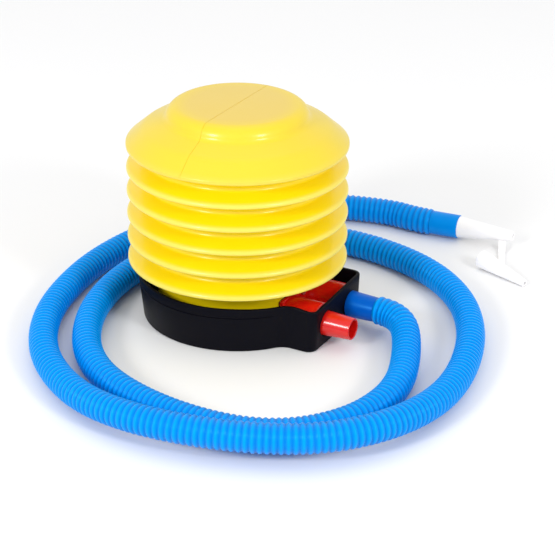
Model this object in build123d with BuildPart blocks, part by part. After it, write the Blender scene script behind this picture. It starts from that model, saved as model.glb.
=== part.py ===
"""Bellows air pump with separate blow and suck ports, a long corrugated hose and two nozzles.

Millimetres, +Z up.  The origin is on the floor on the axis of the bellows, and +X runs along
the two ports, away from the bellows.
"""
from build123d import *
import math
import os

os.makedirs("parts", exist_ok=True)

# ---------------------------------------------------------------- driving dimensions
# bellows
BELLOWS_R = 75.0          # outer radius of every fold rim
FOLD_COUNT = 5            # moving folds below the lid
FOLD_PITCH = 16.3         # rim to rim at rest
FOLD_WALL = 3.2           # wall of the folds, measured level
RIM_LIP = 2.4             # height of the blunt edge of a rim
LID_CONE_RISE = 16.4      # lid slope from its rim up to the dome
LID_BEND_R = 63.0         # the slope is steeper outside this radius
LID_BEND_RISE = 10.3
DOME_R = 48.8             # dome at its foot
DOME_TOP_R = 46.0         # dome at the start of its rounded edge
DOME_EDGE = 9.5           # rounding of the dome's top edge
DOME_RISE = 9.4           # tread above the lid's slope
LID_WALL = 1.8

# neck that sits in the base
NECK_R = 55.0
NECK_WALL = 2.0
NECK_FLOOR = 1.8
FIRST_RIM_RISE = 6.1      # lowest rim above the neck's top
BEAD_OUT = 1.6            # clip bead round the neck's foot
BEAD_H = 2.5
PORT_FLAT_X = NECK_R - 8         # flat on the neck that the valve body is screwed to
PORT_FLAT_WALL = 2.5

# base
BASE_WALL = 2.5
BASE_FLOOR = 2.5
RING_BAND = 5.6           # width of the ring that clips the neck down
RING_GAP = 0.3            # ring to shell
BASE_FOOT_R = NECK_R + BEAD_OUT + RING_BAND + RING_GAP + BASE_WALL
BASE_RIM_R = BASE_FOOT_R + 3.6
BASE_H = 32.5
BLOCK_END_X = PORT_FLAT_X + 30.8    # outer face of the end wall
BLOCK_CORNER_R = 6.5
BLOCK_INNER_R = 3.0       # inside radius of the same corners
BLOCK_BLEND_R = 12.0      # hollow blend between the round and the block
RIM_FALL_X = 0.103        # the rim falls towards the suck port's corner by these slopes
RIM_FALL_Y = 0.054
RIM_CORNER_Z = 29.2       # height of the rim at that corner
SHADOW_LINE_Z = 26.0      # fine groove round the base below its rim
SHADOW_LINE_H = 0.9
SHADOW_LINE_DEEP = 0.5

# ports and valve
PORT_Y = 17.0             # each port stands this far to the side of the middle
DUCT_R = 13.0
PORT_Z = BASE_FLOOR + 0.3 + DUCT_R
DUCT_BORE_R = DUCT_R - 2.4
NECK_PORT_R = 7.5
SUCK_BORE_R = 6.2
SUCK_ROOT_R = 8.75
SUCK_TIP_R = 7.4
SUCK_END_X = BLOCK_END_X + 20.2
BLOW_BORE_R = 5.4
BLOW_ROOT_R = 7.6
BLOW_TIP_R = 6.9
BLOW_END_X = BLOCK_END_X + 15.2
WALL_HOLE_GAP = 0.35
BLOCK_HALF_W = PORT_Y + DUCT_R + BASE_WALL + 2.8
GASKET_T = 1.0
FLANGE_T = 2.5
FLANGE_HALF_W = PORT_Y + 11
FLANGE_LOW_Z = 4.8
FLANGE_HIGH_Z = PORT_Z + DUCT_R
WEB_HALF_W = 5.6
WEB_RISE = 5.0
WEB_DROP = 6.8
SEAT_T = 3.5
SEAT_BORE_R = DUCT_BORE_R - 3.6
SEAT_FIT = 0.05
FLAP_R = DUCT_BORE_R - 2.4
FLAP_T = 1.2
FLAP_GAP = 0.2            # flap to seat when shut
HINGE_RISE = DUCT_BORE_R - 2   # flap hinge above the port's axis
PIN_R = 0.8
PIN_FIT = 0.05
PIN_HALF_L = 6.6
EYE_R = 1.6
EYE_HALF_L = 2.3

# screws
M3_R = 1.5
M3_HEAD_R = 2.7
M3_HEAD_H = 1.6
SCREW_FIT = 0.05

# spring and its seats
SPRING_R = 20.0
SPRING_WIRE_R = 1.3
SPRING_TURNS = 11
SEAT_PLATE_R = 26.0
SEAT_PLATE_T = 2.0
SEAT_HUB_R = 17.0
SEAT_HUB_H = 6.0
TREAD_R = DOME_TOP_R - DOME_EDGE - 0.5
TREAD_T = 2.5
TOUCH_GAP = 0.1

# hose, cuffs and nozzles
HOSE_R = 9.75
HOSE_BORE_R = 7.9
CUFF_ROOT_R = 9.2
CUFF_END_R = 8.6
CUFF_GAP = 0.5            # cuff stands off the end wall
CUFF_X1 = BLOCK_END_X + 21.2
CUFF_END_BORE_R = 7.2
END_CUFF_L = 21.3
END_CUFF_R = 8.7
END_CUFF_BORE_R = 7.2
NOZZLE_L = 42.3
NOZZLE_ROOT_R = 8.1
NOZZLE_TIP_R = 3.5
NOZZLE_BORE_R = 2.2
NOZZLE_BORE_L = 12.0
NOZZLE_THROAT_R = 5.6
SPIGOT_L = 10.0
SPARE_L = 43.0
SPARE_ROOT_R = 6.75
SPARE_TIP_R = 2.5
SPARE_BORE_R = 1.4
SPARE_MOUTH_R = 5.4
SPARE_BORE_L = 8.0
STRAP_W = 5.0
STRAP_T = 1.4
STRAP_ON_NOZZLE = 34.0    # strap leaves the nozzle this far from its wide end
STRAP_ON_SPARE = 20.0
STRAP_LIE_Z = 1.0
STRAP_BITE = 0.3          # strap's ends start this far inside the nozzles and are trimmed to them

# route of the hose, from the pump cuff to the end cuff
HOSE_POINTS = [
    (CUFF_X1, PORT_Y, PORT_Z), (CUFF_X1 + 8, PORT_Y, PORT_Z), (CUFF_X1 + 18.5, 13.0, 15.0),
    (CUFF_X1 + 26.5, 5.5, 13.5), (CUFF_X1 + 34.5, -8.5, 11.2), (143.5, -31.5, 10.0), (152.5, -58.5, 10.0), (155.0, -88.0, 10.0),
    (148.0, -120.0, 10.0), (128.0, -148.5, 10.0), (98.0, -164.5, 10.0), (62.0, -167.5, 10.0),
    (24.0, -162.0, 10.0), (-15.0, -147.0, 10.0), (-46.0, -120.5, 10.0), (-68.5, -84.5, 10.0),
    (-81.5, -47.5, 10.0), (-86.5, -6.0, 10.0), (-80.0, 33.0, 10.0), (-63.0, 70.5, 10.0),
    (-30.5, 103.0, 10.0), (10.0, 120.0, 10.0), (58.0, 117.5, 10.0), (102.0, 101.5, 10.0),
    (137.5, 72.0, 10.0), (162.5, 33.0, 10.0), (177.5, -8.5, 10.0), (185.0, -50.0, 10.5),
    (184.0, -90.5, 13.5), (172.5, -129.5, 17.0), (148.0, -160.0, 17.5), (112.5, -179.0, 17.5),
    (73.0, -190.0, 17.5), (33.0, -191.5, 16.0), (-6.5, -182.0, 13.0), (-43.0, -160.0, 10.5),
    (-74.0, -131.0, 10.0), (-97.5, -91.5, 10.0), (-110.5, -48.5, 10.0), (-116.5, -1.5, 10.0),
    (-112.0, 47.5, 10.0), (-93.5, 101.5, 10.0), (-60.5, 145.5, 10.0), (-20.5, 172.0, 10.0),
    (27.0, 185.0, 10.0), (50.5, 181.7, 10.0), (64.0, 183.0, 10.0),
]
SPARE_ROOT = (120.4, 146.9, 6.9)      # middle of the spare nozzle's wide end
SPARE_HEADING = -20.5                 # degrees from +X, seen from above

# ---------------------------------------------------------------- sizes that follow
PORT_FLAT_TOP = FLANGE_HIGH_Z + 2.4
NECK_TOP_Z = PORT_FLAT_TOP + 4.8
VALLEY_R = NECK_R + 2
LID_RIM_Z = NECK_TOP_Z + FIRST_RIM_RISE + FOLD_COUNT * FOLD_PITCH
PUMP_H = LID_RIM_Z + RIM_LIP + LID_CONE_RISE + DOME_RISE
LID_JOIN_Z = LID_RIM_Z + RIM_LIP / 2
FLANGE_X0 = PORT_FLAT_X + GASKET_T
FLANGE_X1 = FLANGE_X0 + FLANGE_T
WALL_IN_X = BLOCK_END_X - BASE_WALL
DUCT_END_X = WALL_IN_X - 0.3
CHAMBER_X0 = FLANGE_X1 + 2.5
CHAMBER_X1 = DUCT_END_X - 3
HINGE_Z = PORT_Z + HINGE_RISE
SUCK_SEAT_X = CHAMBER_X1 - SEAT_T
BLOW_SEAT_X = CHAMBER_X0 + SEAT_T
SUCK_HINGE_X = SUCK_SEAT_X - FLAP_GAP - EYE_R
BLOW_HINGE_X = BLOW_SEAT_X + FLAP_GAP + EYE_R
NECK_IN_Z = BASE_FLOOR + NECK_FLOOR
SUCK_AXIS = Plane((0, -PORT_Y, PORT_Z), x_dir=(0, 1, 0), z_dir=(1, 0, 0))
BLOW_AXIS = Plane((0, PORT_Y, PORT_Z), x_dir=(0, 1, 0), z_dir=(1, 0, 0))
PORT_AXES = [SUCK_AXIS, BLOW_AXIS]


def write(piece, name):
    """Label a finished piece and save it as its own STEP file."""
    piece.part.label = name
    export_step(piece.part, f"parts/{name}.step")


# ---------------------------------------------------------------- bellows
def fold_profile(shift):
    """Zigzag from the neck up to the lid's rim, moved inwards by shift."""
    points = [(NECK_R - shift, NECK_TOP_Z)]
    for k in range(FOLD_COUNT):
        rim_z = LID_RIM_Z - (FOLD_COUNT - k) * FOLD_PITCH
        points.append((BELLOWS_R - shift, rim_z))
        points.append((BELLOWS_R - shift, rim_z + RIM_LIP))
        points.append((VALLEY_R - shift, rim_z + (FOLD_PITCH + RIM_LIP) / 2))
    points.append((BELLOWS_R - shift, LID_RIM_Z))
    points.append((BELLOWS_R - shift, LID_JOIN_Z))
    return points


with BuildPart() as bellows_folds:
    with BuildSketch(Plane.XZ):
        with BuildLine():
            Polyline(*fold_profile(0), *fold_profile(FOLD_WALL)[::-1], close=True)
        make_face()
    revolve(axis=Axis.Z)
write(bellows_folds, "bellows_folds")

with BuildPart() as bellows_lid:
    with BuildSketch(Plane.XZ):
        with BuildLine():
            Polyline(
                (0, PUMP_H), (DOME_TOP_R - DOME_EDGE, PUMP_H), (DOME_TOP_R, PUMP_H - DOME_EDGE),
                (DOME_R, LID_RIM_Z + RIM_LIP + LID_CONE_RISE),
                (LID_BEND_R, LID_RIM_Z + RIM_LIP + LID_BEND_RISE),
                (BELLOWS_R, LID_RIM_Z + RIM_LIP),
                (BELLOWS_R, LID_JOIN_Z), (BELLOWS_R - FOLD_WALL, LID_JOIN_Z),
                (BELLOWS_R - FOLD_WALL, LID_RIM_Z + RIM_LIP),
                (LID_BEND_R - LID_WALL, LID_RIM_Z + RIM_LIP + LID_BEND_RISE - LID_WALL),
                (DOME_R - LID_WALL, LID_RIM_Z + RIM_LIP + LID_CONE_RISE - LID_WALL),
                (DOME_TOP_R - LID_WALL, PUMP_H - DOME_EDGE - LID_WALL / 2),
                (DOME_TOP_R - DOME_EDGE, PUMP_H - LID_WALL), (0, PUMP_H - LID_WALL), close=True,
            )
        make_face()
        dome_edge = vertices().filter_by(
            lambda v: abs(v.X - DOME_TOP_R) < 1.0 and v.Z > PUMP_H - DOME_EDGE - 0.1
            or abs(v.X - DOME_TOP_R + DOME_EDGE) < 0.1 and v.Z > PUMP_H - 0.1)
        fillet(dome_edge, DOME_EDGE * 0.6)
    revolve(axis=Axis.Z)
write(bellows_lid, "bellows_lid")

with BuildPart() as bellows_neck:
    with BuildSketch(Plane.XY.offset(BASE_FLOOR)):
        Circle(NECK_R)
    extrude(amount=NECK_TOP_Z - BASE_FLOOR)
    with BuildSketch(Plane.XY.offset(BASE_FLOOR)):
        Circle(NECK_R + BEAD_OUT)
    extrude(amount=BEAD_H)
    with BuildSketch(Plane.XY):
        with Locations((PORT_FLAT_X, 0)):
            Rectangle(NECK_R, 3 * NECK_R, align=(Align.MIN, Align.CENTER))
    extrude(amount=PORT_FLAT_TOP, mode=Mode.SUBTRACT)
    with BuildSketch(Plane.XY.offset(NECK_IN_Z)):
        Circle(NECK_R - NECK_WALL)
        with Locations((PORT_FLAT_X - PORT_FLAT_WALL, 0)):
            Rectangle(NECK_R, 3 * NECK_R, align=(Align.MIN, Align.CENTER), mode=Mode.SUBTRACT)
    extrude(amount=NECK_TOP_Z, mode=Mode.SUBTRACT)
    with BuildSketch(Plane.XY.offset(PORT_FLAT_TOP + NECK_FLOOR)):
        Circle(NECK_R - NECK_WALL)
    extrude(amount=NECK_TOP_Z, mode=Mode.SUBTRACT)
    for axis_plane in PORT_AXES:
        with BuildSketch(axis_plane.offset(PORT_FLAT_X - 2 * PORT_FLAT_WALL)):
            Circle(NECK_PORT_R)
        extrude(amount=3 * PORT_FLAT_WALL, mode=Mode.SUBTRACT)
    for screw_z in (FLANGE_LOW_Z + M3_HEAD_R, FLANGE_HIGH_Z - M3_HEAD_R):
        with BuildSketch(Plane.YZ.offset(PORT_FLAT_X - 2 * PORT_FLAT_WALL)):
            with Locations((0, screw_z)):
                Circle(M3_R + SCREW_FIT)
        extrude(amount=3 * PORT_FLAT_WALL, mode=Mode.SUBTRACT)
write(bellows_neck, "bellows_neck")

# ---------------------------------------------------------------- base and what holds the neck
RING_OUT_R = NECK_R + BEAD_OUT + RING_BAND
RING_SCREW_R = (NECK_R + BEAD_OUT + RING_OUT_R) / 2
RING_H = 8.0
RING_SCREW_ANGLES = [70, 125, 180, 235, 290]
RING_OPEN = 40.0          # half the angle that is open towards the ports
HEAD_RECESS = 1.7

with BuildPart() as base_shell:
    with BuildSketch(Plane.XZ):
        with BuildLine():
            Polyline((0, 0), (BASE_FOOT_R, 0), (BASE_RIM_R, BASE_H), (0, BASE_H), close=True)
        make_face()
    revolve(axis=Axis.Z)
    with BuildSketch(Plane.XY):
        Rectangle(BLOCK_END_X, 2 * BLOCK_HALF_W, align=(Align.MIN, Align.CENTER))
    extrude(amount=BASE_H)
    outer_corners = edges().filter_by(Axis.Z).filter_by(lambda e: e.center().X > BLOCK_END_X - 1)
    fillet(outer_corners, BLOCK_CORNER_R)
    blend_edges = edges().filter_by(
        lambda e: abs(abs(e.center().Y) - BLOCK_HALF_W) < 0.5
        and NECK_R / 2 < e.center().X < BASE_RIM_R and abs(e.center().Z - BASE_H / 2) < 1)
    fillet(blend_edges, BLOCK_BLEND_R)
    with BuildSketch(Plane.XZ):
        with BuildLine():
            Polyline(
                (0, BASE_FLOOR), (BASE_FOOT_R - BASE_WALL, BASE_FLOOR),
                (BASE_RIM_R - BASE_WALL, BASE_H), (0, BASE_H), close=True,
            )
        make_face()
    revolve(axis=Axis.Z, mode=Mode.SUBTRACT)
    with BuildSketch(Plane.XY.offset(BASE_FLOOR)):
        RectangleRounded(2 * WALL_IN_X, 2 * (BLOCK_HALF_W - BASE_WALL), BLOCK_INNER_R)
        Rectangle(WALL_IN_X, 2 * BLOCK_HALF_W, align=(Align.MAX, Align.CENTER), mode=Mode.SUBTRACT)
    extrude(amount=BASE_H, mode=Mode.SUBTRACT)
    split(bisect_by=Plane((BLOCK_END_X, -BLOCK_HALF_W, RIM_CORNER_Z),
                          z_dir=(RIM_FALL_X, -RIM_FALL_Y, 1)), keep=Keep.BOTTOM)
    for axis_plane, root_r in ((SUCK_AXIS, SUCK_ROOT_R), (BLOW_AXIS, BLOW_ROOT_R)):
        with BuildSketch(axis_plane.offset(WALL_IN_X - 1)):
            Circle(root_r + WALL_HOLE_GAP)
        extrude(amount=3 * BASE_WALL, mode=Mode.SUBTRACT)
    groove_r = BASE_FOOT_R + (BASE_RIM_R - BASE_FOOT_R) * SHADOW_LINE_Z / BASE_H
    with BuildSketch(Plane.XZ):
        with Locations((groove_r, SHADOW_LINE_Z)):
            Rectangle(2 * SHADOW_LINE_DEEP, SHADOW_LINE_H)
    revolve(axis=Axis.Z, mode=Mode.SUBTRACT)
    with BuildSketch(Plane.XY):
        for angle in RING_SCREW_ANGLES:
            with Locations(Vector(RING_SCREW_R, 0, 0).rotate(Axis.Z, angle)):
                Circle(M3_HEAD_R + SCREW_FIT * 4)
    extrude(amount=HEAD_RECESS, mode=Mode.SUBTRACT)
    with BuildSketch(Plane.XY):
        for angle in RING_SCREW_ANGLES:
            with Locations(Vector(RING_SCREW_R, 0, 0).rotate(Axis.Z, angle)):
                Circle(M3_R + SCREW_FIT)
    extrude(amount=BASE_FLOOR, mode=Mode.SUBTRACT)
write(base_shell, "base_shell")

RING_LIP_Z = BASE_FLOOR + BEAD_H + 0.2
with BuildPart() as clip_ring:
    with BuildSketch(Plane.XY.offset(BASE_FLOOR)):
        Circle(RING_OUT_R)
        Circle(NECK_R + BEAD_OUT + 0.1, mode=Mode.SUBTRACT)
    extrude(amount=RING_LIP_Z - BASE_FLOOR)
    with BuildSketch(Plane.XY.offset(RING_LIP_Z)):
        Circle(RING_OUT_R)
        Circle(NECK_R + 0.1, mode=Mode.SUBTRACT)
    extrude(amount=BASE_FLOOR + RING_H - RING_LIP_Z)
    open_x = NECK_R * math.cos(math.radians(RING_OPEN))
    with BuildSketch(Plane.XY.offset(BASE_FLOOR)):
        with Locations((open_x, 0)):
            Rectangle(NECK_R, 3 * NECK_R, align=(Align.MIN, Align.CENTER))
    extrude(amount=RING_H, mode=Mode.SUBTRACT)
    with BuildSketch(Plane.XY.offset(BASE_FLOOR)):
        for angle in RING_SCREW_ANGLES:
            with Locations(Vector(RING_SCREW_R, 0, 0).rotate(Axis.Z, angle)):
                Circle(M3_R)
    extrude(amount=RING_H - 2, mode=Mode.SUBTRACT)
write(clip_ring, "clip_ring")

RING_SCREW_L = BASE_FLOOR + RING_H - 3 - HEAD_RECESS
with BuildPart() as ring_screws:
    for angle in RING_SCREW_ANGLES:
        spot = Vector(RING_SCREW_R, 0, 0).rotate(Axis.Z, angle)
        with BuildSketch(Plane.XY.offset(HEAD_RECESS - M3_HEAD_H)):
            with Locations(spot):
                Circle(M3_HEAD_R)
        extrude(amount=M3_HEAD_H)
        with BuildSketch(Plane.XY.offset(HEAD_RECESS)):
            with Locations(spot):
                Circle(M3_R - SCREW_FIT)
        extrude(amount=RING_SCREW_L)
write(ring_screws, "ring_screws")

# ---------------------------------------------------------------- valve body between neck and end wall
CLAMP_SCREW_Z = [FLANGE_LOW_Z + M3_HEAD_R, FLANGE_HIGH_Z - M3_HEAD_R]
WEB_X0 = FLANGE_X1 + M3_HEAD_H + 2.0
COVER_SCREW_X = [WEB_X0 + 3.0, DUCT_END_X - 4.0]


flange_h = FLANGE_HIGH_Z - FLANGE_LOW_Z
flange_mid = (FLANGE_HIGH_Z + FLANGE_LOW_Z) / 2

with BuildPart() as port_gasket:
    with BuildSketch(Plane.YZ.offset(PORT_FLAT_X)):
        with Locations((0, flange_mid)):
            RectangleRounded(2 * FLANGE_HALF_W - 2, flange_h - 1, 2.0)
        with Locations((-PORT_Y, PORT_Z), (PORT_Y, PORT_Z)):
            Circle(NECK_PORT_R, mode=Mode.SUBTRACT)
        with Locations(*[(0, z) for z in CLAMP_SCREW_Z]):
            Circle(M3_R + SCREW_FIT, mode=Mode.SUBTRACT)
    extrude(amount=GASKET_T)
write(port_gasket, "port_gasket")

BACKING_T = 2.0
neck_room = math.sqrt((NECK_R - NECK_WALL) ** 2 - (PORT_FLAT_X - PORT_FLAT_WALL) ** 2)
BACKING_HALF_W = min(FLANGE_HALF_W - 2, neck_room - 0.6)
with BuildPart() as backing_plate:
    with BuildSketch(Plane.YZ.offset(PORT_FLAT_X - PORT_FLAT_WALL)):
        with Locations((0, flange_mid)):
            RectangleRounded(2 * BACKING_HALF_W, flange_h - 2, 2.0)
        with Locations((-PORT_Y, PORT_Z), (PORT_Y, PORT_Z)):
            Circle(NECK_PORT_R, mode=Mode.SUBTRACT)
        with Locations(*[(0, z) for z in CLAMP_SCREW_Z]):
            Circle(M3_R, mode=Mode.SUBTRACT)
    extrude(amount=-BACKING_T)
write(backing_plate, "backing_plate")

CLAMP_SCREW_L = FLANGE_T + GASKET_T + PORT_FLAT_WALL + BACKING_T + 1.0
with BuildPart() as clamp_screws:
    for screw_z in CLAMP_SCREW_Z:
        with BuildSketch(Plane.YZ.offset(FLANGE_X1)):
            with Locations((0, screw_z)):
                Circle(M3_HEAD_R)
        extrude(amount=M3_HEAD_H)
        with BuildSketch(Plane.YZ.offset(FLANGE_X1)):
            with Locations((0, screw_z)):
                Circle(M3_R - SCREW_FIT)
        extrude(amount=-CLAMP_SCREW_L)
write(clamp_screws, "clamp_screws")

SPOUTS = [
    (SUCK_AXIS, SUCK_ROOT_R, SUCK_TIP_R, SUCK_END_X, SUCK_BORE_R),
    (BLOW_AXIS, BLOW_ROOT_R, BLOW_TIP_R, BLOW_END_X, BLOW_BORE_R),
]

with BuildPart() as valve_body:
    with BuildSketch(Plane.YZ.offset(FLANGE_X0)):
        with Locations((0, flange_mid)):
            Rectangle(2 * FLANGE_HALF_W, flange_h)
    extrude(amount=FLANGE_T)
    for axis_plane in PORT_AXES:
        with BuildSketch(axis_plane.offset(FLANGE_X1)):
            Circle(DUCT_R)
        extrude(amount=DUCT_END_X - FLANGE_X1)
    with BuildSketch(Plane.XY.offset(PORT_Z - WEB_DROP)):
        with Locations((WEB_X0, 0)):
            Rectangle(DUCT_END_X - WEB_X0, 2 * WEB_HALF_W, align=(Align.MIN, Align.CENTER))
    extrude(amount=WEB_DROP)
    with BuildSketch(Plane.XY.offset(PORT_Z)):
        with Locations((FLANGE_X1, 0)):
            Rectangle(2 * BLOCK_END_X, 3 * BLOCK_HALF_W, align=(Align.MIN, Align.CENTER))
    extrude(amount=2 * DUCT_R, mode=Mode.SUBTRACT)
    for axis_plane, root_r, tip_r, end_x, bore_r in SPOUTS:
        with BuildSketch(axis_plane.offset(DUCT_END_X)):
            Circle(root_r)
        with BuildSketch(axis_plane.offset(end_x)):
            Circle(tip_r)
        loft()
        with BuildSketch(axis_plane.offset(CHAMBER_X0)):
            Circle(DUCT_BORE_R)
        extrude(amount=CHAMBER_X1 - CHAMBER_X0, mode=Mode.SUBTRACT)
        with BuildSketch(axis_plane.offset(CHAMBER_X0 - 1)):
            Circle(bore_r)
        extrude(amount=end_x - CHAMBER_X0 + 2, mode=Mode.SUBTRACT)
        with BuildSketch(axis_plane.offset(FLANGE_X0)):
            Circle(NECK_PORT_R)
        extrude(amount=CHAMBER_X0 - FLANGE_X0, mode=Mode.SUBTRACT)
    with BuildSketch(Plane.YZ.offset(FLANGE_X0)):
        with Locations(*[(0, z) for z in CLAMP_SCREW_Z]):
            Circle(M3_R + SCREW_FIT)
    extrude(amount=FLANGE_T, mode=Mode.SUBTRACT)
    with BuildSketch(Plane.XY.offset(PORT_Z - WEB_DROP)):
        with Locations(*[(x, 0) for x in COVER_SCREW_X]):
            Circle(M3_R + SCREW_FIT)
    extrude(amount=WEB_DROP, mode=Mode.SUBTRACT)
write(valve_body, "valve_body")

with BuildPart() as valve_cover:
    for axis_plane in PORT_AXES:
        with BuildSketch(axis_plane.offset(FLANGE_X1)):
            Circle(DUCT_R)
        extrude(amount=DUCT_END_X - FLANGE_X1)
    with BuildSketch(Plane.XY.offset(PORT_Z)):
        with Locations((WEB_X0, 0)):
            Rectangle(DUCT_END_X - WEB_X0, 2 * WEB_HALF_W, align=(Align.MIN, Align.CENTER))
    extrude(amount=WEB_RISE)
    with BuildSketch(Plane.XY.offset(PORT_Z)):
        with Locations((FLANGE_X1, 0)):
            Rectangle(BLOCK_END_X, 3 * BLOCK_HALF_W, align=(Align.MIN, Align.CENTER))
    extrude(amount=-2 * DUCT_R, mode=Mode.SUBTRACT)
    for axis_plane, root_r, tip_r, end_x, bore_r in SPOUTS:
        with BuildSketch(axis_plane.offset(CHAMBER_X0)):
            Circle(DUCT_BORE_R)
        extrude(amount=CHAMBER_X1 - CHAMBER_X0, mode=Mode.SUBTRACT)
        with BuildSketch(axis_plane.offset(CHAMBER_X1 - 1)):
            Circle(bore_r)
        extrude(amount=2 * FLANGE_T, mode=Mode.SUBTRACT)
        with BuildSketch(axis_plane.offset(FLANGE_X0)):
            Circle(NECK_PORT_R)
        extrude(amount=CHAMBER_X0 - FLANGE_X0 + 1, mode=Mode.SUBTRACT)
    for hinge_x, port_y in ((SUCK_HINGE_X, -PORT_Y), (BLOW_HINGE_X, PORT_Y)):
        with BuildSketch(Plane.XZ.offset(-port_y)):
            with Locations((hinge_x, HINGE_Z)):
                Circle(PIN_R)
        extrude(amount=PIN_HALF_L, both=True, mode=Mode.SUBTRACT)
    with BuildSketch(Plane.XY.offset(PORT_Z)):
        with Locations(*[(x, 0) for x in COVER_SCREW_X]):
            Circle(M3_R)
    extrude(amount=WEB_RISE - 1, mode=Mode.SUBTRACT)
write(valve_cover, "valve_cover")

with BuildPart() as cover_screws:
    for screw_x in COVER_SCREW_X:
        with BuildSketch(Plane.XY.offset(PORT_Z - WEB_DROP)):
            with Locations((screw_x, 0)):
                Circle(M3_HEAD_R)
        extrude(amount=-M3_HEAD_H)
        with BuildSketch(Plane.XY.offset(PORT_Z - WEB_DROP)):
            with Locations((screw_x, 0)):
                Circle(M3_R - SCREW_FIT)
        extrude(amount=WEB_DROP + WEB_RISE - 1.5)
write(cover_screws, "cover_screws")

# ---------------------------------------------------------------- seats, flaps and their pins

def valve_flap(plate_x, hinge_x, port_y):
    """Round flap with its hinge eye, hanging shut from its pin."""
    with BuildPart() as flap:
        with BuildSketch(Plane.YZ.offset(plate_x)):
            with Locations((port_y, PORT_Z)):
                Circle(FLAP_R)
            with Locations((port_y, HINGE_Z)):
                Rectangle(2 * EYE_HALF_L, 2 * EYE_R, align=(Align.CENTER, Align.MAX))
        extrude(amount=FLAP_T)
        with BuildSketch(Plane.XZ.offset(-port_y)):
            with Locations((hinge_x, HINGE_Z)):
                Circle(EYE_R)
        extrude(amount=EYE_HALF_L, both=True)
        with BuildSketch(Plane.XZ.offset(-port_y)):
            with Locations((hinge_x, HINGE_Z)):
                Circle(PIN_R + PIN_FIT)
        extrude(amount=2 * PIN_HALF_L, both=True, mode=Mode.SUBTRACT)
    return flap


with BuildPart() as suck_seat:
    with BuildSketch(SUCK_AXIS.offset(SUCK_SEAT_X)):
        Circle(DUCT_BORE_R - SEAT_FIT)
        Circle(SEAT_BORE_R, mode=Mode.SUBTRACT)
    extrude(amount=SEAT_T)
write(suck_seat, "suck_seat")

with BuildPart() as blow_seat:
    with BuildSketch(BLOW_AXIS.offset(CHAMBER_X0)):
        Circle(DUCT_BORE_R - SEAT_FIT)
        Circle(SEAT_BORE_R, mode=Mode.SUBTRACT)
    extrude(amount=SEAT_T)
write(blow_seat, "blow_seat")


suck_flap = valve_flap(SUCK_SEAT_X - FLAP_GAP - FLAP_T, SUCK_HINGE_X, -PORT_Y)
write(suck_flap, "suck_flap")
blow_flap = valve_flap(BLOW_SEAT_X + FLAP_GAP, BLOW_HINGE_X, PORT_Y)
write(blow_flap, "blow_flap")

with BuildPart() as flap_pins:
    for hinge_x, port_y in ((SUCK_HINGE_X, -PORT_Y), (BLOW_HINGE_X, PORT_Y)):
        with BuildSketch(Plane.XZ.offset(-port_y)):
            with Locations((hinge_x, HINGE_Z)):
                Circle(PIN_R)
        extrude(amount=PIN_HALF_L, both=True)
write(flap_pins, "flap_pins")

# ---------------------------------------------------------------- return spring and its seats
with BuildPart() as spring_seat:
    with BuildSketch(Plane.XY.offset(NECK_IN_Z)):
        Circle(SEAT_PLATE_R)
    extrude(amount=SEAT_PLATE_T)
    with BuildSketch(Plane.XY.offset(NECK_IN_Z + SEAT_PLATE_T)):
        Circle(SEAT_HUB_R)
    extrude(amount=SEAT_HUB_H)
write(spring_seat, "spring_seat")

TREAD_Z = PUMP_H - LID_WALL - TREAD_T
with BuildPart() as tread_plate:
    with BuildSketch(Plane.XY.offset(TREAD_Z)):
        Circle(TREAD_R)
    extrude(amount=TREAD_T)
    with BuildSketch(Plane.XY.offset(TREAD_Z)):
        Circle(SEAT_HUB_R)
    extrude(amount=-SEAT_HUB_H)
write(tread_plate, "tread_plate")

spring_z0 = NECK_IN_Z + SEAT_PLATE_T + SPRING_WIRE_R + TOUCH_GAP
spring_z1 = TREAD_Z - SPRING_WIRE_R - TOUCH_GAP
with BuildPart() as return_spring:
    with BuildLine():
        Helix((spring_z1 - spring_z0) / SPRING_TURNS, spring_z1 - spring_z0, SPRING_R,
              center=(0, 0, spring_z0))
    with BuildSketch(Plane.XZ):
        with Locations((SPRING_R, spring_z0)):
            Circle(SPRING_WIRE_R)
    sweep(is_frenet=True)
write(return_spring, "return_spring")

# ---------------------------------------------------------------- hose, cuffs and nozzles
with BuildPart() as pump_cuff:
    with BuildSketch(BLOW_AXIS.offset(BLOCK_END_X + CUFF_GAP)):
        Circle(CUFF_ROOT_R)
    with BuildSketch(BLOW_AXIS.offset(CUFF_X1)):
        Circle(CUFF_END_R)
    loft()
    with BuildSketch(BLOW_AXIS.offset(CUFF_X1 + 1)):
        Circle(CUFF_END_BORE_R)
    extrude(amount=-2 * (CUFF_X1 - BLOCK_END_X), mode=Mode.SUBTRACT)
    with BuildSketch(BLOW_AXIS.offset(DUCT_END_X)):
        Circle(BLOW_ROOT_R + TOUCH_GAP)
    with BuildSketch(BLOW_AXIS.offset(BLOW_END_X + TOUCH_GAP)):
        Circle(BLOW_TIP_R + TOUCH_GAP)
    loft(mode=Mode.SUBTRACT)
write(pump_cuff, "pump_cuff")


def route_radii(points):
    """Largest tangent-arc radius at each corner that its two runs allow."""
    corners = [Vector(*p) for p in points]
    radii = []
    for before, corner, after in zip(corners, corners[1:], corners[2:]):
        run_in = corner - before
        run_out = after - corner
        half_turn = math.radians(run_in.get_angle(run_out)) / 2
        radii.append(0.45 * min(run_in.length, run_out.length) / math.tan(half_turn))
    return radii


hose_radii = route_radii(HOSE_POINTS)
print("hose arc radii, mm:", [round(r, 1) for r in hose_radii])

with BuildPart() as hose_tube:
    with BuildLine() as hose_route:
        FilletPolyline(*HOSE_POINTS, radius=hose_radii)
    hose_path = hose_route.wires()[0]
    with BuildSketch(Plane(HOSE_POINTS[0], x_dir=(0, 1, 0), z_dir=(1, 0, 0))):
        Circle(HOSE_R)
        Circle(HOSE_BORE_R, mode=Mode.SUBTRACT)
    sweep(path=hose_path)
write(hose_tube, "hose_tube")

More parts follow.
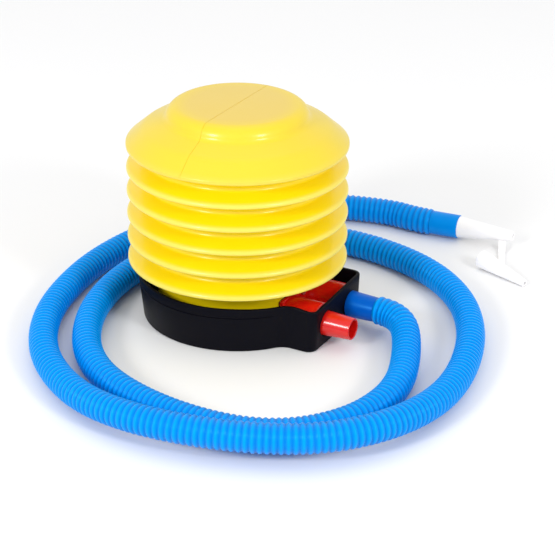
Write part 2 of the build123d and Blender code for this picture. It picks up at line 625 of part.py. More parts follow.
hose_section = math.pi * (HOSE_R ** 2 - HOSE_BORE_R ** 2)
print("hose length, mm:", round(hose_path.length, 1),
      "volume over section x length:", round(hose_tube.part.volume / hose_section / hose_path.length, 4))

hose_end = Vector(*HOSE_POINTS[-1])
hose_way = (hose_end - Vector(*HOSE_POINTS[-2])).normalized()
END_AXIS = Plane(hose_end, z_dir=hose_way)
NOZZLE_AXIS = Plane(hose_end + hose_way * END_CUFF_L, z_dir=hose_way)

with BuildPart() as end_cuff:
    with BuildSketch(END_AXIS):
        Circle(END_CUFF_R)
        Circle(END_CUFF_BORE_R, mode=Mode.SUBTRACT)
    extrude(amount=END_CUFF_L)
write(end_cuff, "end_cuff")

with BuildPart() as nozzle:
    with BuildSketch(NOZZLE_AXIS):
        Circle(NOZZLE_ROOT_R)
    with BuildSketch(NOZZLE_AXIS.offset(NOZZLE_L)):
        Circle(NOZZLE_TIP_R)
    loft()
    with BuildSketch(NOZZLE_AXIS):
        Circle(END_CUFF_BORE_R - TOUCH_GAP)
    extrude(amount=-SPIGOT_L)
    with BuildSketch(NOZZLE_AXIS.offset(-SPIGOT_L)):
        Circle(NOZZLE_THROAT_R)
    with BuildSketch(NOZZLE_AXIS.offset(NOZZLE_L - NOZZLE_BORE_L)):
        Circle(NOZZLE_BORE_R)
    loft(mode=Mode.SUBTRACT)
    with BuildSketch(NOZZLE_AXIS.offset(NOZZLE_L - NOZZLE_BORE_L)):
        Circle(NOZZLE_BORE_R)
    extrude(amount=NOZZLE_BORE_L, mode=Mode.SUBTRACT)
write(nozzle, "nozzle")

# the spare nozzle lies on its side, so its axis falls towards its tip
spare_fall = math.asin((SPARE_ROOT_R - SPARE_TIP_R) / SPARE_L)
spare_turn = math.radians(SPARE_HEADING)
spare_way = Vector(math.cos(spare_fall) * math.cos(spare_turn),
                   math.cos(spare_fall) * math.sin(spare_turn), -math.sin(spare_fall))
SPARE_AXIS = Plane(SPARE_ROOT, z_dir=spare_way)

with BuildPart() as spare_nozzle:
    with BuildSketch(SPARE_AXIS):
        Circle(SPARE_ROOT_R)
    with BuildSketch(SPARE_AXIS.offset(SPARE_L)):
        Circle(SPARE_TIP_R)
    loft()
    with BuildSketch(SPARE_AXIS):
        Circle(SPARE_MOUTH_R)
    with BuildSketch(SPARE_AXIS.offset(SPARE_L - SPARE_BORE_L)):
        Circle(SPARE_BORE_R)
    loft(mode=Mode.SUBTRACT)
    with BuildSketch(SPARE_AXIS.offset(SPARE_L - SPARE_BORE_L)):
        Circle(SPARE_BORE_R)
    extrude(amount=SPARE_BORE_L, mode=Mode.SUBTRACT)
write(spare_nozzle, "spare_nozzle")


def cone_radius(root_r, tip_r, length, along):
    """Outer radius of a nozzle at a distance from its wide end."""
    return root_r + (tip_r - root_r) * along / length


strap_nozzle_r = cone_radius(NOZZLE_ROOT_R, NOZZLE_TIP_R, NOZZLE_L, STRAP_ON_NOZZLE)
strap_spare_r = cone_radius(SPARE_ROOT_R, SPARE_TIP_R, SPARE_L, STRAP_ON_SPARE)
strap_start = NOZZLE_AXIS.origin + hose_way * STRAP_ON_NOZZLE
strap_stop = SPARE_AXIS.origin + spare_way * STRAP_ON_SPARE
strap_way = Vector(strap_stop.X - strap_start.X, strap_stop.Y - strap_start.Y, 0)
strap_span = strap_way.length
strap_way = strap_way.normalized()
STRAP_PLANE = Plane((strap_start.X, strap_start.Y, 0), x_dir=strap_way,
                    z_dir=(strap_way.Y, -strap_way.X, 0))
strap_line = [
    (0, strap_start.Z - strap_nozzle_r + STRAP_BITE),
    (strap_nozzle_r + 1, strap_start.Z - strap_nozzle_r - 1.5),
    (3 * strap_nozzle_r, STRAP_LIE_Z),
    (strap_span - 3 * strap_spare_r, STRAP_LIE_Z),
    (strap_span - strap_spare_r + STRAP_BITE, strap_stop.Z - STRAP_T),
]

with BuildPart() as nozzle_strap:
    with BuildSketch(STRAP_PLANE):
        with BuildLine():
            Polyline(*[(s, z + STRAP_T / 2) for s, z in strap_line],
                     *[(s, z - STRAP_T / 2) for s, z in strap_line[::-1]], close=True)
        make_face()
    extrude(amount=STRAP_W / 2, both=True)
    for cone_axis, root_r, tip_r, length in (
            (NOZZLE_AXIS, NOZZLE_ROOT_R, NOZZLE_TIP_R, NOZZLE_L),
            (SPARE_AXIS, SPARE_ROOT_R, SPARE_TIP_R, SPARE_L)):
        with BuildSketch(cone_axis):
            Circle(root_r)
        with BuildSketch(cone_axis.offset(length)):
            Circle(tip_r)
        loft(mode=Mode.SUBTRACT)
write(nozzle_strap, "nozzle_strap")
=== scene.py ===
"""Bellows air pump with a long corrugated hose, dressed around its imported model."""

import math

import bmesh
import bpy
from mathutils import Matrix, Vector


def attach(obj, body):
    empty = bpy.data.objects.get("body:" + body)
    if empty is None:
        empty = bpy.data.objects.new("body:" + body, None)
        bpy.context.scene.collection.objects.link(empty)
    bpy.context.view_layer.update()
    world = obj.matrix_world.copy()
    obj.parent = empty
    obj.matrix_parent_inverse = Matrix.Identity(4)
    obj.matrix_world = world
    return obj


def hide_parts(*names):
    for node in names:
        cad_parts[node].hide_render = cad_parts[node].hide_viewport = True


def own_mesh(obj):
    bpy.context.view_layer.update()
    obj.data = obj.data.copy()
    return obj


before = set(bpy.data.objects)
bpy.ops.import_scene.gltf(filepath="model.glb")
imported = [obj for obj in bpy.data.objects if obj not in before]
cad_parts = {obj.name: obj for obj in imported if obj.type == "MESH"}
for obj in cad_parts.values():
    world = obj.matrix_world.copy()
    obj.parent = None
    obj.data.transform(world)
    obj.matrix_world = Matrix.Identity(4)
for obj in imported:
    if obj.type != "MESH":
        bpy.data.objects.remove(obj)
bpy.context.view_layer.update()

# ------------------------------------------------------------------ camera
# The pump is seen from a little above, from the side of the open spout.  A long lens far away
# keeps the folds nearly level.
CAMERA_PLACE = (0.62206, -1.09269, 0.61811)
CAMERA_RIGHT = (0.877757, 0.479036, 0.008252)
CAMERA_UP = (-0.211275, 0.371554, 0.904052)
CAMERA_LENS, CAMERA_SENSOR = 130.34, 36.0

camera = bpy.data.objects.new("camera", bpy.data.cameras.new("camera"))
bpy.context.scene.collection.objects.link(camera)
camera_axes = [Vector(CAMERA_RIGHT), Vector(CAMERA_UP), Vector(CAMERA_RIGHT).cross(Vector(CAMERA_UP))]
camera.matrix_world = Matrix.Translation(CAMERA_PLACE) @ Matrix(camera_axes).transposed().to_4x4()
camera.data.sensor_width = CAMERA_SENSOR
camera.data.lens = CAMERA_LENS
camera.data.clip_start = 0.05
camera.data.clip_end = 30.0
bpy.context.scene.camera = camera
bpy.context.scene.view_settings.view_transform = "Standard"


# ------------------------------------------------------------------ shader wiring
class Wire:
    """One output of a shader node.  Arithmetic on it adds Math nodes."""

    def __init__(self, tree, socket):
        self.tree = tree
        self.socket = socket

    def node(self, kind, settings=None, inputs=None, output=0):
        """Add a node, set it up, then fill its inputs, and return one of its outputs."""
        added = self.tree.nodes.new(kind)
        for name, value in (settings or {}).items():
            if name == "stops":
                stops = added.color_ramp.elements
                for i, (place, colour) in enumerate(value):
                    stop = stops[i] if i < 2 else stops.new(place)
                    stop.position = place
                    stop.color = (*colour, 1.0)
            else:
                setattr(added, name, value)
        for name, value in (inputs or {}).items():
            if isinstance(value, Wire):
                self.tree.links.new(value.socket, added.inputs[name])
            else:
                added.inputs[name].default_value = value
        return Wire(self.tree, added.outputs[output])

    def maths(self, operation, first, second):
        """One Math node on two values or links."""
        return self.node("ShaderNodeMath", {"operation": operation}, {0: first, 1: second})

    def __add__(self, other):
        return self.maths("ADD", self, other)

    __radd__ = __add__

    def __sub__(self, other):
        return self.maths("SUBTRACT", self, other)

    def __rsub__(self, other):
        return self.maths("SUBTRACT", other, self)

    def __mul__(self, other):
        return self.maths("MULTIPLY", self, other)

    __rmul__ = __mul__

    def axis(self, letter):
        """One coordinate of a vector."""
        return self.node("ShaderNodeSeparateXYZ", inputs={0: self}, output="XYZ".index(letter))

    def noise(self, scale, detail=2.0):
        """Even noise between 0 and 1, read at this place."""
        return self.node("ShaderNodeTexNoise", {"noise_dimensions": "3D"},
                         {"Vector": self, "Scale": scale, "Detail": detail})

    def between(self, low, high):
        """0 below low, 1 above high, smooth in between."""
        return self.node("ShaderNodeMapRange", {"interpolation_type": "SMOOTHSTEP"},
                         {"Value": self, "From Min": low, "From Max": high})

    def mix(self, first, second):
        """A colour between two, by this factor."""
        return self.node("ShaderNodeMix", {"data_type": "RGBA"}, {0: self, 6: first, 7: second},
                         output=2)

    def bump(self, distance):
        """A normal from this height, whose full range is distance metres high."""
        return self.node("ShaderNodeBump",
                         inputs={"Height": self, "Distance": distance, "Strength": 1.0})

    def feed(self, shader, name):
        """Link this output to a socket of the shader."""
        self.tree.links.new(self.socket, shader.inputs[name])


def new_material(name, constants):
    """A material with fixed values on its shader; returns it, its shader and where it is read."""
    made = bpy.data.materials.new(name)
    made.use_nodes = True
    tree = made.node_tree
    shader = tree.nodes["Principled BSDF"]
    for socket, value in constants.items():
        shader.inputs[socket].default_value = value
    coordinates = tree.nodes.new("ShaderNodeTexCoord")
    return made, shader, Wire(tree, coordinates.outputs["Object"])


def mottle(place, shader, scale, detail, first, second):
    """Let the base colour drift between two over the surface."""
    place.noise(scale, detail).mix((*first, 1), (*second, 1)).feed(shader, "Base Color")


def dull(place, shader, scale, detail, spread, least):
    """Let the roughness drift, from least to spread above it."""
    (place.noise(scale, detail) * spread + least).feed(shader, "Roughness")


# ------------------------------------------------------------------ studio
# A white table top and three soft lights: two low ones in front, the left one stronger, and a
# wide, weak one overhead.
FLOOR_HALF, FLOOR_DROP = 6.0, 0.0002
STUDIO_GLOW = 0.93
LIGHT_AIM = (0, 0, 0.05)

bpy.ops.object.select_all(action="DESELECT")
bpy.ops.mesh.primitive_plane_add(size=2 * FLOOR_HALF, location=(0, 0, -FLOOR_DROP))
floor = bpy.context.object
floor.name = "table_top"
floor_paint, floor_shader, floor_place = new_material(
    "white table top", {"Roughness": 0.6, "Specular IOR Level": 0.2})
mottle(floor_place, floor_shader, 3.0, 2.0, (0.86, 0.86, 0.865), (0.88, 0.88, 0.882))
floor.data.materials.append(floor_paint)

world = bpy.data.worlds.new("studio")
world.use_nodes = True
world.node_tree.nodes["Background"].inputs["Color"].default_value = (1.0, 1.0, 1.0, 1.0)
world.node_tree.nodes["Background"].inputs["Strength"].default_value = STUDIO_GLOW
bpy.context.scene.world = world


def soft_light(name, place, size, watts):
    """A round soft light turned to the pump."""
    lamp = bpy.data.lights.new(name, "AREA")
    lamp.shape, lamp.size, lamp.energy = "DISK", size, watts
    made = bpy.data.objects.new(name, lamp)
    bpy.context.scene.collection.objects.link(made)
    made.location = place
    made.rotation_mode = "QUATERNION"
    made.rotation_quaternion = (Vector(LIGHT_AIM) - Vector(place)).to_track_quat("-Z", "Y")


soft_light("key", (-0.30, -1.65, 0.95), 0.42, 14)
soft_light("fill", (1.55, -0.62, 0.95), 0.38, 10)
soft_light("top", (-0.2, 0.5, 1.9), 1.4, 1.5)


# ------------------------------------------------------------------ base shell
# The foot of the pump: one black polypropylene injection moulding, open above, with drafted
# sides.  A square block on one side takes the two ports through its end wall.
BASE_FOOT_R, BASE_RIM_R, BASE_H = 65.0, 68.6, 32.5
BLOCK_FOOT_X, BLOCK_DRAFT, BLOCK_HALF_W = 77.3, 1.6, 35.3
BLOCK_CORNER_R, BLOCK_BLEND_R = 6.5, 12.0
RIM_CORNER, RIM_FALL_X, RIM_FALL_Y = (77.8, -35.3, 29.2), 0.103, 0.054
FALL_FROM_Z, FALL_FULL_Z, FALL_SOFT = 24.0, 31.6, 0.6
END_WALL_YS, LEAST_CORNER_R = (0, 8, 16, 24), 0.5
PORT_Y, PORT_Z = 17.0, 15.8
SPOUT_HOLES = ((-PORT_Y, 9.1), (PORT_Y, 7.95))
SPOUT_DRILL_IN, SPOUT_DRILL_DEEP = 6, 10
RING_SCREW_R, RING_SCREW_ANGLES = 59.4, (70, 125, 180, 235, 290)
HEAD_HOLE_R, HEAD_HOLE_DEEP = 2.9, 1.7


def arc(centre, radius, start, stop, steps):
    """Points (x, y) along an arc between two angles in degrees."""
    turns = [math.radians(start + (stop - start) * i / steps) for i in range(steps + 1)]
    return [(centre[0] + radius * math.cos(a), centre[1] + radius * math.sin(a)) for a in turns]


def rim_drop(x, y):
    """How far the rim falls at one place, eased in where the slope meets the level rim."""
    top = RIM_CORNER[2] - RIM_FALL_X * (x - RIM_CORNER[0]) + RIM_FALL_Y * (y - RIM_CORNER[1])
    drop = BASE_H - top
    if drop > FALL_SOFT:
        return drop
    if drop < -FALL_SOFT:
        return 0
    return (drop + FALL_SOFT) ** 2 / (4 * FALL_SOFT)


def base_loop(z, inset, groove):
    """One loop of the shell's skin, at a height and that far inside its outer face."""
    wall_r = BASE_FOOT_R + (BASE_RIM_R - BASE_FOOT_R) * z / BASE_H
    corner_in = BLOCK_CORNER_R - min(inset, BLOCK_CORNER_R - LEAST_CORNER_R)
    blend_y = BLOCK_HALF_W + BLOCK_BLEND_R
    blend_x = math.sqrt((wall_r + BLOCK_BLEND_R) ** 2 - blend_y ** 2)
    blend_turn = math.degrees(math.atan2(blend_y, blend_x))
    end_x, half_w = BLOCK_FOOT_X + BLOCK_DRAFT * z / BASE_H - inset, BLOCK_HALF_W - inset
    half = [(end_x, y) for y in END_WALL_YS]
    half += arc((end_x - corner_in, half_w - corner_in), corner_in, 0, 90, 8)
    half += arc((blend_x, blend_y), BLOCK_BLEND_R + inset, 270, 180 + blend_turn, 12)
    round_part = arc((0, 0), wall_r - inset, blend_turn, 180, 60)[1:]
    half += round_part[:1]
    half += [(x * (1 - groove / wall_r), y * (1 - groove / wall_r)) for x, y in round_part[1:]]
    loop = half + [(x, -y) for x, y in half[-2:0:-1]]
    share = min(1, max(0, (z - FALL_FROM_Z) / (FALL_FULL_Z - FALL_FROM_Z)))
    return [Vector((x, y, z - rim_drop(x, y) * share)) / 1000 for x, y in loop]


def draw_line(name, spots):
    """Start a mesh at one point and extrude it from spot to spot; leaves it in edit mode."""
    bpy.ops.object.select_all(action="DESELECT")
    bpy.ops.mesh.primitive_plane_add(size=0.001)
    made = bpy.context.object
    made.name = made.data.name = name
    bpy.ops.object.mode_set(mode="EDIT")
    bpy.ops.mesh.merge(type="CENTER")
    bpy.ops.transform.translate(value=spots[0])
    for before, after in zip(spots, spots[1:]):
        bpy.ops.mesh.extrude_region_move(TRANSFORM_OT_translate={"value": after - before})
    bpy.ops.mesh.select_all(action="SELECT")
    return made


def stack(name, loops):
    """A closed skin over a stack of loops: fill the first, then extrude it from loop to loop."""
    made = draw_line(name, [*loops[0], loops[0][0]])
    bpy.ops.mesh.remove_doubles(threshold=1e-6)
    bpy.ops.mesh.edge_face_add()
    for before, after in zip(loops, loops[1:]):
        bpy.ops.mesh.extrude_region_move()
        shape = bmesh.from_edit_mesh(made.data)
        moving = [v for v in shape.verts if v.select]
        for vertex in moving:
            nearest = min(range(len(before)), key=lambda i: (before[i] - vertex.co).length_squared)
            vertex.co = after[nearest]
        bmesh.update_edit_mesh(made.data)
    bpy.ops.mesh.select_all(action="SELECT")
    bpy.ops.mesh.normals_make_consistent(inside=False)
    bpy.ops.object.mode_set(mode="OBJECT")
    return made


def smooth(piece, sharpest):
    """Shade smooth, apart from edges sharper than that many degrees."""
    bpy.ops.object.select_all(action="DESELECT")
    piece.select_set(True)
    bpy.context.view_layer.objects.active = piece
    bpy.ops.object.shade_smooth_by_angle(angle=math.radians(sharpest))


def drill(piece, holes):
    """Cut round holes, each (start, way, radius, depth) in millimetres."""
    for start, way, radius, deep in holes:
        bpy.ops.object.select_all(action="DESELECT")
        middle = (Vector(start) + Vector(way) * deep / 2) / 1000
        bpy.ops.mesh.primitive_cylinder_add(
            vertices=48, radius=radius / 1000, depth=deep / 1000, location=middle,
            rotation=Vector(way).to_track_quat("Z", "Y").to_euler())
        cutter = bpy.context.object
        cut = piece.modifiers.new("drill", "BOOLEAN")
        cut.operation, cut.solver, cut.object = "DIFFERENCE", "EXACT", cutter
        bpy.context.view_layer.objects.active = piece
        bpy.ops.object.modifier_apply(modifier=cut.name)
        bpy.data.objects.remove(cutter)


# Height, inset and groove depth, up the outside, over the rim and down inside to the floor.
BASE_SKIN = [
    (0.0, 1.0, 0.0), (0.12, 0.5, 0.0), (0.45, 0.15, 0.0), (1.0, 0.0, 0.0), (25.3, 0.0, 0.0),
    (25.6, 0.0, 0.5), (26.4, 0.0, 0.5), (26.7, 0.0, 0.0), (31.6, 0.0, 0.0), (32.15, 0.12, 0.0),
    (32.4, 0.35, 0.0), (32.5, 0.8, 0.0), (32.5, 1.7, 0.0), (32.4, 2.15, 0.0), (32.15, 2.38, 0.0),
    (31.6, 2.5, 0.0), (4.5, 2.5, 0.0), (3.1, 3.0, 0.0), (2.5, 4.4, 0.0),
]
base_shell = stack("base_moulding", [base_loop(*row) for row in BASE_SKIN])
screw_spots = [Matrix.Rotation(math.radians(a), 3, "Z") @ Vector((RING_SCREW_R, 0, -1))
               for a in RING_SCREW_ANGLES]
drill(base_shell, [((BLOCK_FOOT_X - SPOUT_DRILL_IN, y, PORT_Z), (1, 0, 0), r, SPOUT_DRILL_DEEP)
                   for y, r in SPOUT_HOLES])
drill(base_shell, [(spot, (0, 0, 1), HEAD_HOLE_R, HEAD_HOLE_DEEP + 1) for spot in screw_spots])
smooth(base_shell, 32)

black, black_shader, black_place = new_material("black polypropylene", {"Specular IOR Level": 0.06})
mottle(black_place, black_shader, 22.0, 3.0, (0.0022, 0.0022, 0.0045), (0.0042, 0.0040, 0.0070))
dull(black_place, black_shader, 60.0, 4.0, 0.16, 0.34)
black_place.noise(2600.0, 3.0).bump(0.00006).feed(black_shader, "Normal")
base_shell.data.materials.append(black)
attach(base_shell, "base")
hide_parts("base_shell")


# ------------------------------------------------------------------ clip ring, its screws, spring seat
# Under the neck a black ring grips its bead and is screwed up through the base's floor by five
# zinc-plated screws; the spring stands on a black plate inside the neck.
def dress(names, material):
    """Give carried-over CAD pieces a finish."""
    for name in names:
        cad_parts[name].material_slots[0].material = material


zinc, zinc_shader, zinc_place = new_material("zinc-plated steel", {"Metallic": 1.0})
mottle(zinc_place, zinc_shader, 90.0, 3.0, (0.46, 0.47, 0.49), (0.62, 0.63, 0.65))
dull(zinc_place, zinc_shader, 400.0, 2.0, 0.2, 0.25)
dress(["clip_ring", "spring_seat", "backing_plate", "tread_plate"], black)
dress(["ring_screws", "clamp_screws", "cover_screws"], zinc)
wire_steel, wire_shader, wire_place = new_material("drawn spring wire", {"Metallic": 1.0})
mottle(wire_place, wire_shader, 140.0, 4.0, (0.30, 0.30, 0.31), (0.48, 0.48, 0.50))
dull(wire_place, wire_shader, 700.0, 2.0, 0.18, 0.28)
dress(["flap_pins"], wire_steel)


# ------------------------------------------------------------------ bellows neck
# The lower end of the yellow blow moulding: a straight collar that stands in the base.
NECK_R, NECK_TOP_Z = 55.0, 36.0


def rounded(corners, closed=False, steps=6):
    """Turn (x, y, radius) corners into points, with a short arc at each corner."""
    line = []
    count = len(corners)
    for i, (x, y, radius) in enumerate(corners):
        here = Vector((x, y))
        if radius == 0 or (not closed and i in (0, count - 1)):
            line.append((x, y))
            continue
        back = (Vector(corners[i - 1][:2]) - here).normalized()
        on = (Vector(corners[(i + 1) % count][:2]) - here).normalized()
        half = back.angle(on) / 2
        centre = here + (back + on).normalized() * (radius / math.sin(half))
        first = here + back * (radius / math.tan(half)) - centre
        last = here + on * (radius / math.tan(half)) - centre
        swing = first.angle_signed(last)
        for k in range(steps + 1):
            spot = centre + Matrix.Rotation(-swing * k / steps, 2) @ first
            line.append((spot.x, spot.y))
    return line + line[:1] if closed else line


def spun(name, outline, start=(0, 0, 0), way=(0, 0, 1), steps=128, turn=360.0, side=None):
    """Draw an outline of (radius, distance along) in millimetres and spin it round an axis."""
    way = Vector(way).normalized()
    side = way.orthogonal().normalized() if side is None else Vector(side)
    start = Vector(start) / 1000
    spots = [start + side * (r / 1000) + way * (z / 1000) for r, z in outline]
    made = draw_line(name, spots)
    bpy.ops.mesh.remove_doubles(threshold=1e-6)
    if turn < 360:
        bpy.ops.mesh.edge_face_add()
    bpy.ops.mesh.spin(steps=steps, angle=math.radians(turn), center=start, axis=way)
    bpy.ops.mesh.select_all(action="SELECT")
    bpy.ops.mesh.remove_doubles(threshold=1e-6)
    bpy.ops.mesh.normals_make_consistent(inside=False)
    bpy.ops.object.mode_set(mode="OBJECT")
    return made


# Light is painted into the moulding's colour. The rims are paler, a painted highlight where their
# rounded edges catch the light. The lid and its flat tread get a duller, paler yellow, which is painted
# sheen.
# Each band is where its tone starts and where it is full, in metres from the axis or the floor.
RIM_HIGHLIGHT_BAND, LID_SHEEN_BAND = (0.0715, 0.0748), (0.1205, 0.1275)
TREAD_SHEEN_EDGE, TREAD_SHEEN_BAND = (0.030, 0.046), (0.140, 0.149)

yellow, yellow_shader, yellow_place = new_material(
    "yellow blow moulding",
    {"IOR": 1.48, "Specular IOR Level": 0.3, "Coat Weight": 0.34, "Coat Roughness": 0.17})
flat_place = yellow_place.node("ShaderNodeVectorMath", {"operation": "MULTIPLY"},
                               {0: yellow_place, 1: (1, 1, 0)})
reach = yellow_place.node("ShaderNodeVectorMath", {"operation": "LENGTH"}, {0: flat_place}, output=1)
# The rims' paler yellow is a painted highlight where their rounded edges catch the light.
rim_painted_highlight = reach.between(*RIM_HIGHLIGHT_BAND) * 0.8
# The lid's duller, paler yellow is painted sheen.
lid_painted_sheen = yellow_place.axis("Z").between(*LID_SHEEN_BAND) * 0.75
# The flat tread's duller, paler yellow is painted sheen.
tread_painted_sheen = (1 - reach.between(*TREAD_SHEEN_EDGE)) * yellow_place.axis("Z").between(*TREAD_SHEEN_BAND)
cloudy = yellow_place.noise(28.0, 3.0).mix((0.86, 0.64, 0.001, 1), (0.90, 0.69, 0.002, 1))
with_rim_highlight = rim_painted_highlight.mix(cloudy, (0.80, 0.66, 0.11, 1))
with_lid_sheen = lid_painted_sheen.mix(with_rim_highlight, (0.73, 0.545, 0.03, 1))
(tread_painted_sheen * 0.8).mix(with_lid_sheen, (0.71, 0.505, 0.085, 1)).feed(yellow_shader, "Base Color")
dull(yellow_place, yellow_shader, 45.0, 3.0, 0.12, 0.30)
yellow_place.noise(900.0, 3.0).bump(0.00005).feed(yellow_shader, "Normal")
dress(["bellows_neck"], yellow)


# ------------------------------------------------------------------ valve body and cover
# Two red half-shells, gloss injection mouldings screwed together along the web between them.
# The upper one closes both valve chambers; the lower one carries the flange and both spouts.
FLANGE_X0, FLANGE_X1 = 48.0, 50.5
FLANGE_HALF_W, FLANGE_LOW_Z, FLANGE_HIGH_Z = 28, 4.8, 28.8
DUCT_END_X, DUCT_R, DUCT_BORE_R, DUCT_EDGE_R = 75.0, 13.0, 10.6, 1.4
CHAMBER_X0, CHAMBER_X1 = 53.0, 72.0
NECK_PORT_R = 7.5
SUCK_SPOUT = {"y": -PORT_Y, "root": 8.75, "tip": 7.4, "end": 98.0, "bore": 6.2}
BLOW_SPOUT = {"y": PORT_Y, "root": 7.6, "tip": 6.9, "end": 93.0, "bore": 5.4}
SPOUT_SINK, SPOUT_LIP_SHARE = 0.5, 0.42
WEB_X0, WEB_HALF_W, WEB_RISE, WEB_DROP, WEB_EDGE_R = 54.1, 5.6, 5.0, 6.8, 0.6


def rounded_block(name, low, high, edge):
    """A block between two corners in millimetres with rounded edges."""
    bpy.ops.object.select_all(action="DESELECT")
    low, high = Vector(low) / 1000, Vector(high) / 1000
    bpy.ops.mesh.primitive_cube_add(size=1)
    made = bpy.context.object
    made.name = made.data.name = name
    bpy.ops.object.mode_set(mode="EDIT")
    bpy.ops.transform.resize(value=high - low)
    bpy.ops.transform.translate(value=(low + high) / 2)
    bpy.ops.mesh.bevel(offset=edge / 1000, segments=4)
    bpy.ops.object.mode_set(mode="OBJECT")
    return made


def join(name, parts):
    """Weld overlapping solids into one piece."""
    body = parts[0]
    for part in parts[1:]:
        weld = body.modifiers.new("weld", "BOOLEAN")
        weld.operation, weld.solver, weld.object = "UNION", "EXACT", part
        bpy.context.view_layer.objects.active = body
        bpy.ops.object.modifier_apply(modifier=weld.name)
        bpy.data.objects.remove(part)
    body.name = body.data.name = name
    return body


def half_duct(name, spout, up):
    """One half of a duct, with its valve chamber open inside."""
    section = rounded([
        (NECK_PORT_R, FLANGE_X1, 0), (DUCT_R, FLANGE_X1, 0), (DUCT_R, DUCT_END_X, DUCT_EDGE_R),
        (spout["bore"], DUCT_END_X, 0), (spout["bore"], CHAMBER_X1, 0), (DUCT_BORE_R, CHAMBER_X1, 0),
        (DUCT_BORE_R, CHAMBER_X0, 0), (NECK_PORT_R, CHAMBER_X0, 0)], closed=True)
    return spun(name, section, (0, spout["y"], PORT_Z), (1, 0, 0), steps=40, turn=180,
                side=(0, up, 0))


cover_parts = [half_duct("duct", spout, 1) for spout in (SUCK_SPOUT, BLOW_SPOUT)]
cover_parts.append(rounded_block("web", (WEB_X0, -WEB_HALF_W, PORT_Z),
                                 (DUCT_END_X, WEB_HALF_W, PORT_Z + WEB_RISE), WEB_EDGE_R))
valve_cover = join("valve_cover_moulding", cover_parts)
smooth(valve_cover, 32)

body_parts = [half_duct("duct", spout, -1) for spout in (SUCK_SPOUT, BLOW_SPOUT)]
body_parts.append(rounded_block("flange", (FLANGE_X0, -FLANGE_HALF_W, FLANGE_LOW_Z),
                                (FLANGE_X1, FLANGE_HALF_W, FLANGE_HIGH_Z), 0.5))
body_parts.append(rounded_block("web", (WEB_X0, -WEB_HALF_W, PORT_Z - WEB_DROP),
                                (DUCT_END_X, WEB_HALF_W, PORT_Z), WEB_EDGE_R))
for spout in (SUCK_SPOUT, BLOW_SPOUT):
    lip_r = (spout["tip"] - spout["bore"]) * SPOUT_LIP_SHARE
    section = rounded([
        (spout["bore"], DUCT_END_X - SPOUT_SINK, 0), (spout["root"], DUCT_END_X - SPOUT_SINK, 0),
        (spout["tip"], spout["end"], lip_r), (spout["bore"], spout["end"], lip_r)], closed=True)
    body_parts.append(spun("spout", section, (0, spout["y"], PORT_Z), (1, 0, 0), steps=72))
valve_body = join("valve_body_moulding", body_parts)
drill(valve_body, [((FLANGE_X0 - 1, y, PORT_Z), (1, 0, 0), NECK_PORT_R, 4)
                   for y in (-PORT_Y, PORT_Y)])
smooth(valve_body, 32)

red, red_shader, red_place = new_material(
    "red gloss plastic", {"IOR": 1.5, "Coat Weight": 0.25, "Coat Roughness": 0.08})
mottle(red_place, red_shader, 35.0, 2.0, (0.62, 0.004, 0.002), (0.70, 0.007, 0.004))
dull(red_place, red_shader, 40.0, 2.0, 0.08, 0.2)
for piece, node in ((valve_cover, "valve_cover"), (valve_body, "valve_body")):
    piece.data.materials.append(red)
    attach(piece, "base")
    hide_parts(node)


# ------------------------------------------------------------------ gasket, valve seats and flaps
# A black rubber gasket seals the flange against the neck.  Each duct holds a white seat ring, and
# a rubber flap hangs from a steel pin and shuts against it.
rubber, rubber_shader, rubber_place = new_material("black rubber", {"Specular IOR Level": 0.3})
mottle(rubber_place, rubber_shader, 120.0, 3.0, (0.012, 0.012, 0.012), (0.03, 0.029, 0.028))
dull(rubber_place, rubber_shader, 300.0, 2.0, 0.15, 0.6)
dress(["port_gasket", "suck_flap", "blow_flap"], rubber)
seat_white, seat_shader, seat_place = new_material("white seat plastic", {"IOR": 1.5})
mottle(seat_place, seat_shader, 80.0, 2.0, (0.70, 0.70, 0.69), (0.80, 0.80, 0.79))
dull(seat_place, seat_shader, 200.0, 2.0, 0.15, 0.35)
dress(["suck_seat", "blow_seat"], seat_white)


# ------------------------------------------------------------------ return spring
# A compression coil of drawn steel wire between the two seats, which lifts the lid again.  It
# shortens with the pedal's travel.
SPRING_R, SPRING_WIRE_R, SPRING_TURNS, SPRING_SIDES = 20.0, 1.3, 11, 12
SPRING_Z0, SPRING_Z1, SPRING_STEPS = 7.7, 146.1, 36

bpy.ops.object.select_all(action="DESELECT")
bpy.ops.mesh.primitive_circle_add(vertices=SPRING_SIDES, radius=SPRING_WIRE_R / 1000, fill_type="NGON",
                                  rotation=(math.pi / 2, 0, 0))
spring = bpy.context.object
spring.name = spring.data.name = "spring_coil"
bpy.ops.object.transform_apply(location=False, rotation=True, scale=False)
bpy.ops.object.mode_set(mode="EDIT")
bpy.ops.transform.translate(value=(SPRING_R / 1000, 0, SPRING_Z0 / 1000))
total_steps = SPRING_TURNS * SPRING_STEPS
rise = (SPRING_Z1 - SPRING_Z0) / total_steps / 1000
for _ in range(total_steps):
    bpy.ops.mesh.extrude_region_move(TRANSFORM_OT_translate={"value": (0, 0, rise)})
    bpy.ops.transform.rotate(value=-math.tau / SPRING_STEPS, orient_axis="Z", center_override=(0, 0, 0))
bpy.ops.mesh.select_all(action="SELECT")
bpy.ops.mesh.normals_make_consistent(inside=False)
bpy.ops.object.mode_set(mode="OBJECT")
smooth(spring, 40)
spring.data.materials.append(wire_steel)
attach(spring, "base")
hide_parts("return_spring")
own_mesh(spring)


# ------------------------------------------------------------------ bellows folds
# Five folds of one thin yellow blow moulding in soft polyethylene.  They fold flat as the lid is
# pressed; every rim is rounded where the mould's halves meet the stretched wall.
BELLOWS_R, VALLEY_R, RIM_LIP = 75.0, 57.0, 2.4
FOLD_COUNT, FOLD_PITCH, FOLD_WALL = 5, 16.3, 3.2
LID_RIM_Z, LID_JOIN_Z = 123.6, 124.8
RIM_ROUND_LOW, RIM_ROUND_TOP, VALLEY_ROUND, LID_RIM_ROUND = 1.0, 2.3, 3.0, 1.2

